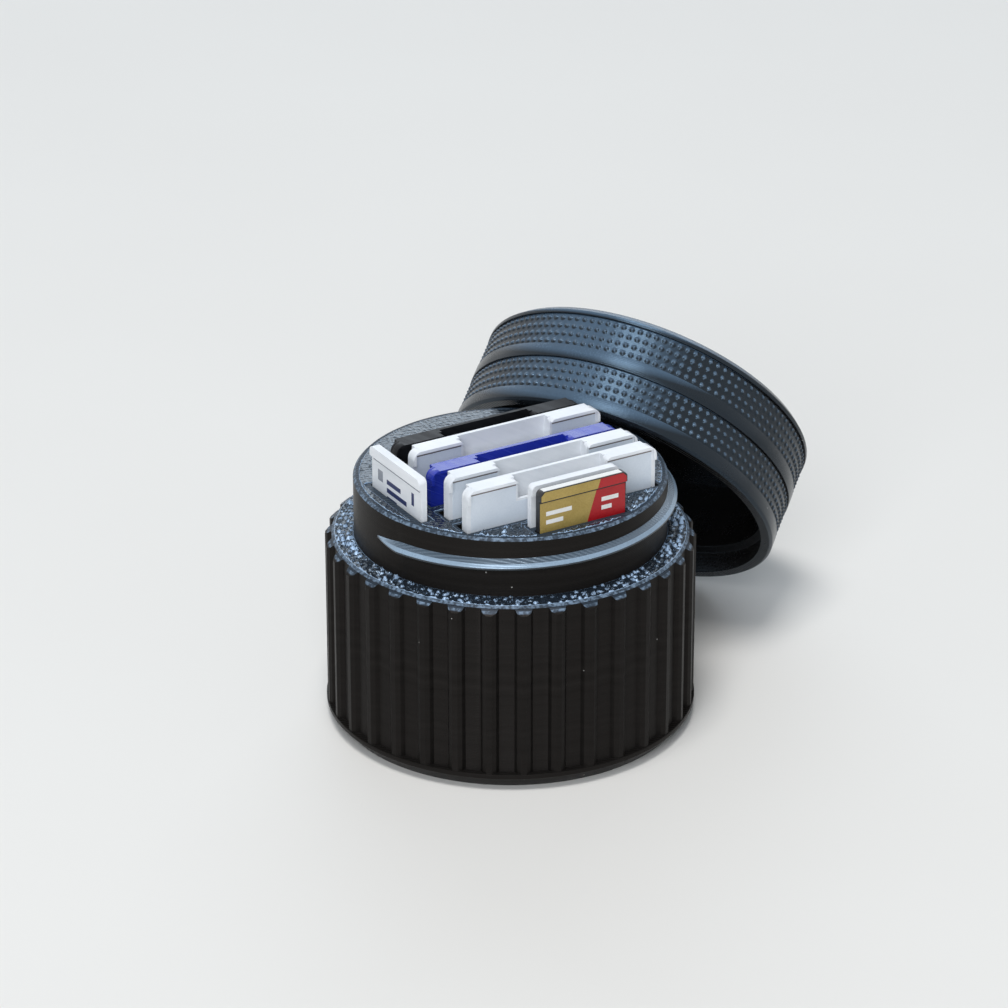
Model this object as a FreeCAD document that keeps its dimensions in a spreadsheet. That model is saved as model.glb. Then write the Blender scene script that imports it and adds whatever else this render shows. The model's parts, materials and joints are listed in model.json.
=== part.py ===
import FreeCAD
import Part
import Sketcher
import math
import os
import re

# A round screw-top case for memory cards. Five SD-size adapter cards and three microSD cards
# stand in slots in the top of the base, and the lid leans against the back of the base.
# Lengths are in millimetres and angles in degrees. The origin is the centre of the underside of
# the base, +Z is up, +X runs along the SD slots and -Y is the side that the labels face.

SIZES = {
    # SD-size card: an adapter with a pocket for a microSD card in its top end
    "sd_width": 24.0,
    "sd_length": 32.0,
    "sd_thickness": 2.1,
    "sd_corner_radius": 1.0,
    "sd_corner_cut": 4.0,
    "sd_rail_width": 0.9,
    "sd_rail_step": 0.7,
    "sd_head_length": 1.65,
    "sd_face_wall": 0.45,
    "panel_rim": 0.35,
    "panel_foot": 6.0,
    "panel_depth": 0.35,
    "notch_height": 2.4,
    "notch_play": 0.1,
    "notch_corner_radius": 0.6,
    "pocket_play": 0.15,
    "pocket_end_gap": 0.3,
    # contact leads of the adapter card
    "pad_count": 8,
    "pad_margin": 2.5,
    "pad_gap": 1.0,
    "pad_length": 3.6,
    "pad_edge": 0.9,
    "lead_thickness": 0.2,
    "lead_side_gap": 0.3,
    "spring_width": 0.7,
    "spring_length": 3.0,
    "spring_root": 2.0,
    "spring_rise": 0.25,
    "spring_tip_length": 0.8,
    # lock slider on the edge of the adapter card
    "lock_foot": 6.5,
    "lock_window": 6.0,
    "lock_length": 3.0,
    "lock_thickness": 1.4,
    "lock_play": 0.08,
    "tongue_reach": 0.35,
    # microSD card
    "micro_width": 11.0,
    "micro_length": 15.0,
    "micro_thickness": 0.7,
    "micro_corner_radius": 0.6,
    "micro_lip_rise": 0.3,
    "micro_lip_length": 1.2,
    "micro_step": 1.3,
    "micro_step_foot": 6.0,
    "micro_pad_count": 8,
    "micro_pad_margin": 0.6,
    "micro_pad_gap": 0.3,
    "micro_pad_length": 2.9,
    "micro_pad_edge": 0.6,
    "micro_pad_depth": 0.1,
    # slots in the top of the base
    "sd_play_wide": 0.25,
    "sd_play_thick": 0.2,
    "sd_wall": 1.45,
    "sd_middle_row": 2,
    "sd_row_shift": 2.45,
    "sd_stand_high": 4.75,
    "sd_stand_low": 3.95,
    "micro_play_wide": 0.15,
    "micro_play_thick": 0.15,
    "micro_back_wall": 1.2,
    "micro_between_wall": 0.75,
    "micro_stand": 4.95,
    "side_wall": 1.9,
    "side_shift": 0.9,
    # base with its ribs, shoulder and neck
    "base_floor": 1.05,
    "neck_height": 6.9,
    "neck_wall": 0.67,
    "neck_chamfer": 0.3,
    "shoulder_width": 2.5,
    "shoulder_chamfer": 0.25,
    "rib_count": 34,
    "rib_width": 2.2,
    "rib_waist": 1.5,
    "rib_crest": 0.6,
    "rib_rise": 0.75,
    "rib_waist_share": 0.6,
    "rib_bite": 0.2,
    "rib_drop": 0.3,
    "rib_slope": 0.6,
    "rib_ledge": 0.08,
    "foot_inset": 1.35,
    "foot_rise": 2.0,
    "foot_wall": 0.5,
    "foot_lip": 0.1,
    # screw thread, less than one turn
    "thread_pitch": 2.1,
    "thread_turns": 0.75,
    "thread_depth": 0.9,
    "thread_root": 1.3,
    "thread_crest": 0.5,
    "thread_drop": 3.35,
    "thread_play": 0.25,
    "thread_bite": 0.3,
    "thread_start_angle": -163.0,
    # lid and the way it leans
    "lid_top": 1.0,
    "lid_head_gap": 0.15,
    "lid_mouth_chamfer": 0.3,
    "lid_crown_chamfer": 0.7,
    "knurl_depth": 0.3,
    "rim_strip_share": 0.14,
    "knurl_band_share": 0.32,
    "middle_strip_share": 0.13,
    "lid_tilt": 37.5,
    "lid_bearing": 32.5,
    "lean_gap": 0.3,
    # how far every cut runs past the surface it opens
    "cut_overrun": 1.0,
}

DERIVED = {
    "sd_half_width": "sd_width / 2",
    "sd_half_thickness": "sd_thickness / 2",
    "pocket_half_width": "micro_width / 2 + pocket_play",
    "pocket_floor": "sd_length - pocket_end_gap - micro_length",
    "pocket_depth": "sd_half_thickness - sd_face_wall",
    "pocket_front_depth": "pocket_depth - panel_depth",
    "notch_half_width": "micro_width / 2 + notch_play",
    "pad_pitch": "(sd_width - 2 * pad_margin + pad_gap) / pad_count",
    "pad_width": "pad_pitch - pad_gap",
    "pad_top": "pad_edge + pad_length",
    "bed_half_width": "((pad_count - 1) * pad_pitch + pad_width) / 2 + lead_side_gap",
    "spring_foot": "pocket_floor - spring_root",
    "spring_top": "pocket_floor + spring_length",
    "lock_inner_x": "sd_half_width - sd_rail_width",
    "tongue_thickness": "sd_half_thickness - sd_rail_step",
    "micro_pad_room": "micro_width - micro_step - 2 * micro_pad_margin",
    "micro_pad_pitch": "(micro_pad_room + micro_pad_gap) / micro_pad_count",
    "micro_pad_width": "micro_pad_pitch - micro_pad_gap",
    "micro_half_width": "micro_width / 2",
    "micro_half_thickness": "micro_thickness / 2",
    "sd_slot_half_width": "sd_half_width + sd_play_wide",
    "sd_slot_half_thickness": "sd_half_thickness + sd_play_thick",
    "sd_pitch": "2 * sd_slot_half_thickness + sd_wall",
    "sd_front_y": "-sd_row_shift - sd_middle_row * sd_pitch",
    "micro_slot_half_width": "micro_half_width + micro_play_wide",
    "micro_slot_half_thickness": "micro_half_thickness + micro_play_thick",
    "micro_back_y": "sd_front_y - sd_slot_half_thickness - micro_back_wall - micro_slot_half_thickness",
    "micro_front_y": "micro_back_y - 2 * micro_slot_half_thickness - micro_between_wall",
    "micro_side_x": "-sd_slot_half_width - side_wall - micro_slot_half_thickness",
    "base_height": "base_floor + sd_length - sd_stand_low",
    "shoulder_z": "base_height - neck_height",
    "sd_floor_high": "base_height + sd_stand_high - sd_length",
    "micro_floor": "base_height + micro_stand - micro_length",
    "sd_corner_reach": "hypot(sd_slot_half_width; sd_slot_half_thickness - sd_front_y)",
    "micro_corner_reach": "hypot(micro_slot_half_width; micro_slot_half_thickness - micro_front_y)",
    "side_far_end": "micro_slot_half_width + side_shift",
    "side_corner_reach": "hypot(micro_slot_half_thickness - micro_side_x; side_far_end)",
    "neck_radius": "neck_wall + max(sd_corner_reach; micro_corner_reach; side_corner_reach)",
    "body_radius": "neck_radius + shoulder_width",
    "rib_outer_radius": "body_radius + rib_rise",
    "rib_waist_radius": "body_radius + rib_rise * rib_waist_share",
    "rib_root_radius": "body_radius - rib_bite",
    "rib_ledge_radius": "body_radius + rib_ledge",
    "rib_top": "shoulder_z - rib_drop",
    "rib_crest_top": "rib_top - rib_slope * (rib_rise - rib_ledge) / rib_rise",
    "foot_radius": "rib_outer_radius + foot_lip",
    "thread_crest_radius": "neck_radius + thread_depth",
    "thread_z": "base_height - thread_drop",
    "lid_radius": "body_radius",
    "lid_bore_radius": "thread_crest_radius + thread_play",
    "lid_thread_radius": "neck_radius + thread_play",
    "lid_inner_height": "neck_height + max(sd_stand_high; sd_stand_low; micro_stand) + lid_head_gap",
    "lid_height": "lid_inner_height + lid_top",
    "lid_thread_z": "neck_height - thread_drop - thread_pitch / 2",
    "knurl_radius": "lid_radius - knurl_depth",
    "knurl_low_foot": "lid_height * rim_strip_share",
    "knurl_low_top": "knurl_low_foot + lid_height * knurl_band_share",
    "knurl_high_foot": "knurl_low_top + lid_height * middle_strip_share",
    "knurl_high_top": "knurl_high_foot + lid_height * knurl_band_share",
}

# Cards in their slots: name, row counted from the front, floor of the slot.
SD_CARDS = (
    ("sd_white_front", 0, "sd_floor_high"),
    ("sd_white_second", 1, "sd_floor_high"),
    ("sd_blue", 2, "base_floor"),
    ("sd_white_fourth", 3, "sd_floor_high"),
    ("sd_black", 4, "base_floor"),
)

# Name, place across the top face, and turn about the upright.
SIDE_TURN = -90.0
MICRO_CARDS = (
    ("micro_gold", "0", "micro_front_y", 0.0),
    ("micro_white", "0", "micro_back_y", 0.0),
    ("micro_side", "micro_side_x", "-side_shift", SIDE_TURN),
)

SHEET = "dim"
FULL_TURN = 360.0
TOLERANCE = 1e-6
LEAN_TOLERANCE = 1e-3
CUT_TYPE = "PartDesign::Pocket"


def make_sheet(doc):
    """Spreadsheet with the driving sizes as plain numbers and the sizes worked out from them."""
    sheet = doc.addObject("Spreadsheet::Sheet", SHEET)
    rows = {name: str(value) for name, value in SIZES.items()}
    rows.update({name: "=" + text for name, text in DERIVED.items()})
    for row, (name, text) in enumerate(rows.items(), 1):
        sheet.set(f"A{row}", name)
        sheet.setAlias(f"B{row}", name)
        sheet.set(f"B{row}", text)
    doc.recompute()
    return sheet


def bound(text):
    """Expression text with every size name pointing at its cell."""
    def cell(match):
        name = match.group(0)
        return f"{SHEET}.{name}" if name in SIZES or name in DERIVED else name
    return re.sub(r"[a-z][a-z_]*", cell, str(text))


def value(doc, text):
    """Present value of an expression of size names."""
    return float(doc.getObject(SHEET).evalExpression(bound(text)))


def rectangle(left, right, low, high):
    return [(left, low), (right, low), (right, high), (left, high)]


def new_body(doc, label):
    body = doc.addObject("PartDesign::Body", label)
    body.Label = label
    body.AllowCompound = True
    return body


def new_sketch(body, name, role, lift):
    """Sketch on one of the body's own origin planes, lifted along the plane's normal."""
    sketch = body.newObject("Sketcher::SketchObject", name)
    plane = next(item for item in body.Origin.OriginFeatures if item.Role == role)
    sketch.AttachmentSupport = (plane, [""])
    sketch.MapMode = "FlatFace"
    sketch.setExpression("AttachmentOffset.Base.z", bound(lift))
    return sketch


def hold(sketch, held):
    """Hold coordinates of vertices, counted from the sketch's origin, at expressions."""
    doc = sketch.Document
    constraints = [Sketcher.Constraint(kind, -1, 1, geometry, vertex, value(doc, text))
                   for kind, geometry, vertex, text in held]
    first = sketch.ConstraintCount
    sketch.addConstraint(constraints)
    for index, (*place, text) in enumerate(held, first):
        sketch.setExpression(f"Constraints[{index}]", bound(text))


def add_outlines(sketch, outlines):
    """Closed outlines of straight lines through corners given as pairs of expressions."""
    doc = sketch.Document
    lines = []
    joins = []
    held = []
    for corners in outlines:
        points = [FreeCAD.Vector(value(doc, x), value(doc, y), 0) for x, y in corners]
        first = len(lines)
        count = len(points)
        for step, (x, y) in enumerate(corners):
            following = (step + 1) % count
            lines.append(Part.LineSegment(points[step], points[following]))
            joins.append(Sketcher.Constraint("Coincident", first + step, 2, first + following, 1))
            held.append(("DistanceX", first + step, 1, x))
            held.append(("DistanceY", first + step, 1, y))
    sketch.addGeometry(lines, False)
    sketch.addConstraint(joins)
    hold(sketch, held)


def outline_sketch(body, name, role, lift, outlines):
    sketch = new_sketch(body, name, role, lift)
    add_outlines(sketch, outlines)
    return sketch


def add_prism(body, kind, name, role, outlines, length, lift="0", reverse=False):
    """Pad or Pocket of straight-sided outlines on an origin plane."""
    feature = body.newObject("PartDesign::" + kind, name)
    feature.Profile = outline_sketch(body, name + "_outline", role, lift, outlines)
    feature.setExpression("Length", bound(length))
    feature.Reversed = reverse
    return feature


def add_row(body, name, original, count, pitch):
    """Copies of a pad or pocket in a row along +X, the first one being the original."""
    row = body.newObject("PartDesign::LinearPattern", name)
    row.Originals = [original]
    row.Direction = (original.Profile[0], ["H_Axis"])
    row.setExpression("Length", bound(f"({count} - 1) * {pitch}"))
    row.setExpression("Occurrences", bound(count))
    body.Tip = row
    return row


def add_turned(body, name, corners):
    """Full revolution of an outline in the XZ plane about the upright."""
    feature = body.newObject("PartDesign::Revolution", name)
    sketch = outline_sketch(body, name + "_outline", "XZ_Plane", "0", [corners])
    feature.Profile = sketch
    feature.ReferenceAxis = (sketch, ["V_Axis"])
    feature.Angle = FULL_TURN
    return feature


def add_thread(body, name, corners, height):
    """Right-handed ridge wound about the upright from the outline of its section."""
    sketch = outline_sketch(body, name + "_outline", "XZ_Plane", "0", [corners])
    upright = FreeCAD.Vector(0, 1, 0)
    start = FreeCAD.Rotation(upright, value(body.Document, "thread_start_angle"))
    sketch.AttachmentOffset = FreeCAD.Placement(FreeCAD.Vector(0, 0, 0), start)
    sketch.setExpression("AttachmentOffset.Base.y", bound(height))
    sketch.setExpression("AttachmentOffset.Rotation.Angle", bound("thread_start_angle"))
    thread = body.newObject("PartDesign::AdditiveHelix", name)
    thread.Profile = sketch
    thread.ReferenceAxis = (sketch, ["V_Axis"])
    thread.Mode = "pitch-turns-angle"
    thread.setExpression("Pitch", bound("thread_pitch"))
    thread.setExpression("Turns", bound("thread_turns"))


def add_top_fillet(body, name, base, top, half_width, radius):
    """Round the two corners at the top end of a card."""
    doc = body.Document
    doc.recompute()
    high = value(doc, top)
    wide = value(doc, half_width)

    def is_corner(edge):
        ends = [vertex.Point for vertex in edge.Vertexes]
        at_top = all(abs(end.z - high) < TOLERANCE for end in ends)
        at_side = all(abs(abs(end.x) - wide) < TOLERANCE for end in ends)
        across = abs(ends[0].x - ends[-1].x) < TOLERANCE
        return at_top and at_side and across

    edges = [f"Edge{index}" for index, edge in enumerate(base.Shape.Edges, 1) if is_corner(edge)]
    fillet = body.newObject("PartDesign::Fillet", name)
    fillet.Base = (base, edges)
    fillet.setExpression("Radius", bound(radius))


def stand_at(body, x, y, z, turn=0.0):
    """Place a piece with its own origin at a point of the case, turned about the upright."""
    body.Placement.Rotation = FreeCAD.Rotation(FreeCAD.Vector(0, 0, 1), turn)
    for axis, text in zip("xyz", (x, y, z)):
        body.setExpression("Placement.Base." + axis, bound(text))


def row_y(row):
    return f"sd_front_y + {row} * sd_pitch"


def base_piece(doc):
    """Base turned in one piece with its foot ring and neck, then threaded, slotted and ribbed."""
    body = new_body(doc, "case_base")
    add_turned(body, "turned_base", [
        ("0", "0"),
        ("foot_radius - foot_inset", "0"),
        ("foot_radius", "foot_rise - foot_wall"),
        ("foot_radius", "foot_rise"),
        ("body_radius", "foot_rise"),
        ("body_radius", "shoulder_z - shoulder_chamfer"),
        ("body_radius - shoulder_chamfer", "shoulder_z"),
        ("neck_radius", "shoulder_z"),
        ("neck_radius", "base_height - neck_chamfer"),
        ("neck_radius - neck_chamfer", "base_height"),
        ("0", "base_height"),
    ])
    add_thread(body, "neck_thread", [
        ("neck_radius - thread_bite", "-thread_root / 2"),
        ("neck_radius", "-thread_root / 2"),
        ("thread_crest_radius", "-thread_crest / 2"),
        ("thread_crest_radius", "thread_crest / 2"),
        ("neck_radius", "thread_root / 2"),
        ("neck_radius - thread_bite", "thread_root / 2"),
    ], "thread_z")
    for name, row, floor in SD_CARDS:
        middle = row_y(row)
        outline = rectangle("-sd_slot_half_width", "sd_slot_half_width",
                            f"{middle} - sd_slot_half_thickness", f"{middle} + sd_slot_half_thickness")
        add_slot(body, name + "_slot", outline, floor)
    for name, x, y, turn in MICRO_CARDS:
        across, along = "micro_slot_half_width", "micro_slot_half_thickness"
        if turn:
            across, along = along, across
        outline = rectangle(f"{x} - {across}", f"{x} + {across}", f"{y} - {along}", f"{y} + {along}")
        add_slot(body, name + "_slot", outline, "micro_floor")
    add_ribs(body)
    return body


def add_ribs(body):
    """Faceted grip ribs around the base, from the foot ring up to sloping tops at the shoulder."""
    section = [
        ("rib_root_radius", "-rib_width / 2"),
        ("rib_waist_radius", "-rib_waist / 2"),
        ("rib_outer_radius", "-rib_crest / 2"),
        ("rib_outer_radius", "rib_crest / 2"),
        ("rib_waist_radius", "rib_waist / 2"),
        ("rib_root_radius", "rib_width / 2"),
    ]
    rib = add_prism(body, "Pad", "rib", "XY_Plane", [section], "rib_top - foot_rise", lift="foot_rise")
    wedge = [
        ("rib_ledge_radius", "rib_top"),
        ("rib_ledge_radius + rib_rise", "rib_top - rib_slope"),
        ("rib_ledge_radius + rib_rise", "rib_top + cut_overrun"),
        ("rib_ledge_radius", "rib_top + cut_overrun"),
    ]
    slope = add_prism(body, "Pocket", "rib_slope", "XZ_Plane", [wedge], "2 * rib_width", lift="rib_width")
    ribs = body.newObject("PartDesign::PolarPattern", "ribs")
    ribs.Originals = [rib, slope]
    ribs.Axis = (rib.Profile[0], ["N_Axis"])
    ribs.Angle = FULL_TURN
    ribs.setExpression("Occurrences", bound("rib_count"))
    body.Tip = ribs


def add_slot(body, name, outline, floor):
    depth = f"base_height - {floor}"
    add_prism(body, "Pocket", name, "XY_Plane", [outline], depth, lift="base_height")


def lean_placement(doc, cards):
    """Lid on the edge of its mouth, tipped back, the mouth facing the base and its cards.

    It comes in along its bearing from clear of the base. Each step is as long as the gap that is
    left, so it stops at the first place where only the named gap remains.
    """
    tilt = math.radians(value(doc, "lid_tilt"))
    bearing = math.radians(value(doc, "lid_bearing"))
    gap = value(doc, "lean_gap")
    mouth_height = value(doc, "lid_radius") * math.cos(tilt)
    turn_bearing = FreeCAD.Rotation(FreeCAD.Vector(0, 0, 1), math.degrees(bearing))
    turn_tilt = FreeCAD.Rotation(FreeCAD.Vector(0, 1, 0), math.degrees(math.pi / 2 - tilt))
    turn = turn_bearing.multiply(turn_tilt)
    ribs = Part.makeCylinder(value(doc, "rib_outer_radius"), value(doc, "rib_crest_top - foot_rise"))
    ribs.translate(FreeCAD.Vector(0, 0, value(doc, "foot_rise")))
    slopes = Part.makeCone(value(doc, "rib_outer_radius"), value(doc, "rib_ledge_radius"),
                           value(doc, "rib_top - rib_crest_top"))
    slopes.translate(FreeCAD.Vector(0, 0, value(doc, "rib_crest_top")))
    post = [doc.getObject("turned_base").Shape, ribs, slopes]
    obstacle = Part.makeCompound(post + [card.Shape for card in cards])
    bore = Part.makeCylinder(value(doc, "lid_bore_radius"), value(doc, "lid_inner_height"))
    cup = Part.makeCylinder(value(doc, "lid_radius"), value(doc, "lid_height")).cut(bore)
    distance = value(doc, "rib_outer_radius + lid_radius + lid_height")
    spare = distance
    while spare > LEAN_TOLERANCE:
        centre = FreeCAD.Vector(distance * math.cos(bearing), distance * math.sin(bearing), mouth_height)
        cup.Placement = FreeCAD.Placement(centre, turn)
        spare = cup.distToShape(obstacle)[0] - gap
        distance -= spare
    return cup.Placement


def lid_piece(doc):
    """Lid as a turned cup on its mouth, with two bands sunk for the knurl and a thread inside."""
    body = new_body(doc, "lid")
    add_turned(body, "turned_lid", [
        ("lid_bore_radius", "0"),
        ("lid_radius - lid_mouth_chamfer", "0"),
        ("lid_radius", "lid_mouth_chamfer"),
        ("lid_radius", "knurl_low_foot"),
        ("knurl_radius", "knurl_low_foot"),
        ("knurl_radius", "knurl_low_top"),
        ("lid_radius", "knurl_low_top"),
        ("lid_radius", "knurl_high_foot"),
        ("knurl_radius", "knurl_high_foot"),
        ("knurl_radius", "knurl_high_top"),
        ("lid_radius", "knurl_high_top"),
        ("lid_radius", "lid_height - lid_crown_chamfer"),
        ("lid_radius - lid_crown_chamfer", "lid_height"),
        ("0", "lid_height"),
        ("0", "lid_inner_height"),
        ("lid_bore_radius", "lid_inner_height"),
    ])
    add_thread(body, "lid_thread", [
        ("lid_bore_radius + thread_bite", "-thread_root / 2"),
        ("lid_bore_radius + thread_bite", "thread_root / 2"),
        ("lid_bore_radius", "thread_root / 2"),
        ("lid_thread_radius", "thread_crest / 2"),
        ("lid_thread_radius", "-thread_crest / 2"),
        ("lid_bore_radius", "-thread_root / 2"),
    ], "lid_thread_z")
    return body


def sd_outline():
    """Card seen from its label side: square top, one corner cut off at the contact end."""
    return [
        ("sd_corner_cut - sd_half_width", "0"),
        ("sd_half_width", "0"),
        ("sd_half_width", "sd_length"),
        ("-sd_half_width", "sd_length"),
        ("-sd_half_width", "sd_corner_cut"),
    ]


def pocket_outline():
    """Room for a microSD card, open at the top end of the adapter."""
    return rectangle("-pocket_half_width", "pocket_half_width", "pocket_floor", "sd_length + cut_overrun")


def lock_outline(inner_x):
    """Window in the edge of the card for the lock slider."""
    return rectangle(inner_x, "sd_half_width + cut_overrun", "lock_foot", "lock_foot + lock_window")


def panel_outline():
    """Sunk label face: it reaches both edges below the head, and the head keeps a rim around it."""
    outside = "sd_half_width + cut_overrun"
    inside = "sd_half_width - panel_rim"
    head_foot = "sd_length - sd_head_length"
    panel_top = "sd_length - panel_rim"
    return [
        (f"-({outside})", "panel_foot"),
        (outside, "panel_foot"),
        (outside, head_foot),
        (inside, head_foot),
        (inside, panel_top),
        (f"-({inside})", panel_top),
        (f"-({inside})", head_foot),
        (f"-({outside})", head_foot),
    ]


def sd_front_shell(doc, label):
    """Label half of an adapter: finger notch, rim and sunk label face, and microSD pocket."""
    body = new_body(doc, label)
    plate = add_prism(body, "Pad", "plate", "XZ_Plane", [sd_outline()], "sd_half_thickness")
    add_top_fillet(body, "corners", plate, "sd_length", "sd_half_width", "sd_corner_radius")
    opening = rectangle("-notch_half_width", "notch_half_width",
                        "sd_length - notch_height", "sd_length + cut_overrun")
    notch = add_prism(body, "Pocket", "notch", "XZ_Plane", [opening], "sd_thickness",
                      lift="sd_half_thickness")
    add_top_fillet(body, "notch_corners", notch, "sd_length", "notch_half_width", "notch_corner_radius")
    add_prism(body, "Pocket", "panel", "XZ_Plane", [panel_outline()], "panel_depth",
              lift="sd_half_thickness")
    add_prism(body, "Pocket", "pocket", "XZ_Plane", [pocket_outline()], "pocket_front_depth", reverse=True)
    lock_window = lock_outline("lock_inner_x")
    add_prism(body, "Pocket", "lock_window", "XZ_Plane", [lock_window], "sd_thickness",
              lift="sd_half_thickness")
    return body


def sd_back_shell(doc, label):
    """Contact half of an adapter: rails, microSD pocket, bed for the leads, windows, lock tongue."""
    body = new_body(doc, label)
    plate = add_prism(body, "Pad", "plate", "XZ_Plane", [sd_outline()], "sd_half_thickness", reverse=True)
    add_top_fillet(body, "corners", plate, "sd_length", "sd_half_width", "sd_corner_radius")
    outside = "sd_half_width + cut_overrun"
    past_top = "sd_length + cut_overrun"
    rails = [
        rectangle(f"-({outside})", "-lock_inner_x", "-cut_overrun", past_top),
        rectangle("lock_inner_x", outside, "-cut_overrun", past_top),
    ]
    add_prism(body, "Pocket", "rails", "XZ_Plane", rails, "sd_rail_step",
              lift="-sd_half_thickness", reverse=True)
    bed = rectangle("-bed_half_width", "bed_half_width", "pad_edge", "spring_foot")
    neck = rectangle("-pocket_half_width", "pocket_half_width", "spring_foot", "pocket_floor")
    add_prism(body, "Pocket", "lead_bed", "XZ_Plane", [bed], "pocket_depth")
    add_prism(body, "Pocket", "lead_neck", "XZ_Plane", [neck], "pocket_depth")
    add_prism(body, "Pocket", "pocket", "XZ_Plane", [pocket_outline()], "pocket_depth")
    first = pad_x(0)
    window = rectangle(f"{first} - pad_width / 2", f"{first} + pad_width / 2", "pad_edge", "pad_top")
    opening = add_prism(body, "Pocket", "window", "XZ_Plane", [window], "sd_half_thickness")
    add_row(body, "windows", opening, "pad_count", "pad_pitch")
    beside_tongue = lock_outline("lock_inner_x + tongue_reach")
    add_prism(body, "Pocket", "lock_window", "XZ_Plane", [beside_tongue], "sd_half_thickness")
    return body


def pad_x(index):
    """Middle of a contact pad at the edge of the adapter."""
    return f"({index} - (pad_count - 1) / 2) * pad_pitch"


def spring_x(index):
    """Middle of the spring that meets the matching pad of a microSD card."""
    return f"({index} - (micro_pad_count - 1) / 2) * micro_pad_pitch + micro_step / 2"


def sd_contacts(doc, label):
    """Metal leads from the contact windows up to the springs in the microSD pocket."""
    body = new_body(doc, label)
    for index in range(SIZES["pad_count"]):
        pad = pad_x(index)
        spring = spring_x(index)
        lead = [
            (f"{pad} - pad_width / 2", "pad_edge"),
            (f"{pad} + pad_width / 2", "pad_edge"),
            (f"{pad} + pad_width / 2", "pad_top"),
            (f"{spring} + spring_width / 2", "spring_foot"),
            (f"{spring} + spring_width / 2", "spring_top"),
            (f"{spring} - spring_width / 2", "spring_top"),
            (f"{spring} - spring_width / 2", "spring_foot"),
            (f"{pad} - pad_width / 2", "pad_top"),
        ]
        add_prism(body, "Pad", f"lead_{index}", "XZ_Plane", [lead], "lead_thickness", lift="-pocket_depth")
    first = spring_x(0)
    tip = rectangle(f"{first} - spring_width / 2", f"{first} + spring_width / 2",
                    "spring_top - spring_tip_length", "spring_top")
    tip_height = "lead_thickness + spring_rise"
    bump = add_prism(body, "Pad", "tip", "XZ_Plane", [tip], tip_height, lift="-pocket_depth")
    add_row(body, "tips", bump, "micro_pad_count", "micro_pad_pitch")
    return body


def sd_lock(doc, label):
    """Lock slider, grooved to run on the tongue in the edge of the card."""
    body = new_body(doc, label)
    block = rectangle("lock_inner_x + lock_play", "sd_half_width - lock_play",
                      "lock_foot + lock_play", "lock_foot + lock_play + lock_length")
    front = "sd_half_thickness - panel_depth - lock_play"
    add_prism(body, "Pad", "block", "XZ_Plane", [block], "lock_thickness", lift=front, reverse=True)
    groove = rectangle("lock_inner_x - cut_overrun", "lock_inner_x + tongue_reach + lock_play",
                       "lock_foot - cut_overrun", "lock_foot + lock_length + cut_overrun")
    add_prism(body, "Pocket", "groove", "XZ_Plane", [groove], "tongue_thickness + 2 * lock_play",
              lift="-tongue_thickness - lock_play", reverse=True)
    return body


def micro_body(doc, label):
    """microSD card: stepped at the contact end, thicker along the grip edge at the top."""
    body = new_body(doc, label)
    outline = [
        ("micro_step - micro_half_width", "0"),
        ("micro_half_width", "0"),
        ("micro_half_width", "micro_length"),
        ("-micro_half_width", "micro_length"),
        ("-micro_half_width", "micro_step_foot + micro_step"),
        ("micro_step - micro_half_width", "micro_step_foot"),
    ]
    add_prism(body, "Pad", "plate", "XZ_Plane", [outline], "micro_thickness", lift="-micro_half_thickness")
    lip_foot = "micro_length - micro_lip_length"
    lip = rectangle("-micro_half_width", "micro_half_width", lip_foot, "micro_length")
    grip = add_prism(body, "Pad", "lip", "XZ_Plane", [lip], "micro_lip_rise", lift="micro_half_thickness")
    add_top_fillet(body, "corners", grip, "micro_length", "micro_half_width", "micro_corner_radius")
    bed = add_prism(body, "Pocket", "pad_bed", "XZ_Plane", [micro_pad()], "micro_pad_depth",
                    lift="-micro_half_thickness", reverse=True)
    add_row(body, "pad_beds", bed, "micro_pad_count", "micro_pad_pitch")
    return body


def micro_pad():
    """Outline of the first contact pad on the back of a microSD card."""
    first = spring_x(0)
    return rectangle(f"{first} - micro_pad_width / 2", f"{first} + micro_pad_width / 2",
                     "micro_pad_edge", "micro_pad_edge + micro_pad_length")


def micro_contacts(doc, label):
    body = new_body(doc, label)
    back = "-micro_half_thickness"
    pad = add_prism(body, "Pad", "pad", "XZ_Plane", [micro_pad()], "micro_pad_depth", lift=back)
    add_row(body, "pads", pad, "micro_pad_count", "micro_pad_pitch")
    return body


def build(doc):
    """All pieces of the case and its cards, each in its place."""
    lid = lid_piece(doc)
    pieces = [base_piece(doc), lid]
    shells = []
    for name, row, floor in SD_CARDS:
        card = [
            sd_front_shell(doc, name + "_front_shell"),
            sd_back_shell(doc, name + "_back_shell"),
            sd_contacts(doc, name + "_contacts"),
            sd_lock(doc, name + "_lock"),
        ]
        for piece in card:
            stand_at(piece, "0", row_y(row), floor)
        pieces += card
        shells += card[:2]
    for name, x, y, turn in MICRO_CARDS:
        card = [micro_body(doc, name + "_body"), micro_contacts(doc, name + "_contacts")]
        for piece in card:
            stand_at(piece, x, y, "micro_floor", turn)
        pieces += card
    doc.recompute()
    lid.Placement = lean_placement(doc, shells)
    return pieces


def check(doc, pieces):
    """Stop before anything is written if an object failed or a piece has no sound shape."""
    failed = [item.Label for item in doc.Objects if {"Invalid", "Error"} & set(item.State)]
    unsound = [piece.Label for piece in pieces if piece.Shape.isNull() or not piece.Shape.isValid()]
    cuts = [item for item in doc.Objects if item.TypeId == CUT_TYPE]
    idle = [cut.Label for cut in cuts if cut.Shape.Volume > cut.BaseFeature.Shape.Volume - TOLERANCE]
    if failed or unsound or idle:
        raise SystemExit(f"failed: {failed}, unsound: {unsound}, cutting nothing: {idle}")


def main():
    doc = FreeCAD.newDocument("memory_card_case")
    make_sheet(doc)
    pieces = build(doc)
    check(doc, pieces)
    os.makedirs("parts", exist_ok=True)
    for piece in pieces:
        piece.Shape.exportStep(f"parts/{piece.Label}.step")
    print(len(pieces), "pieces written")


main()
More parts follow.
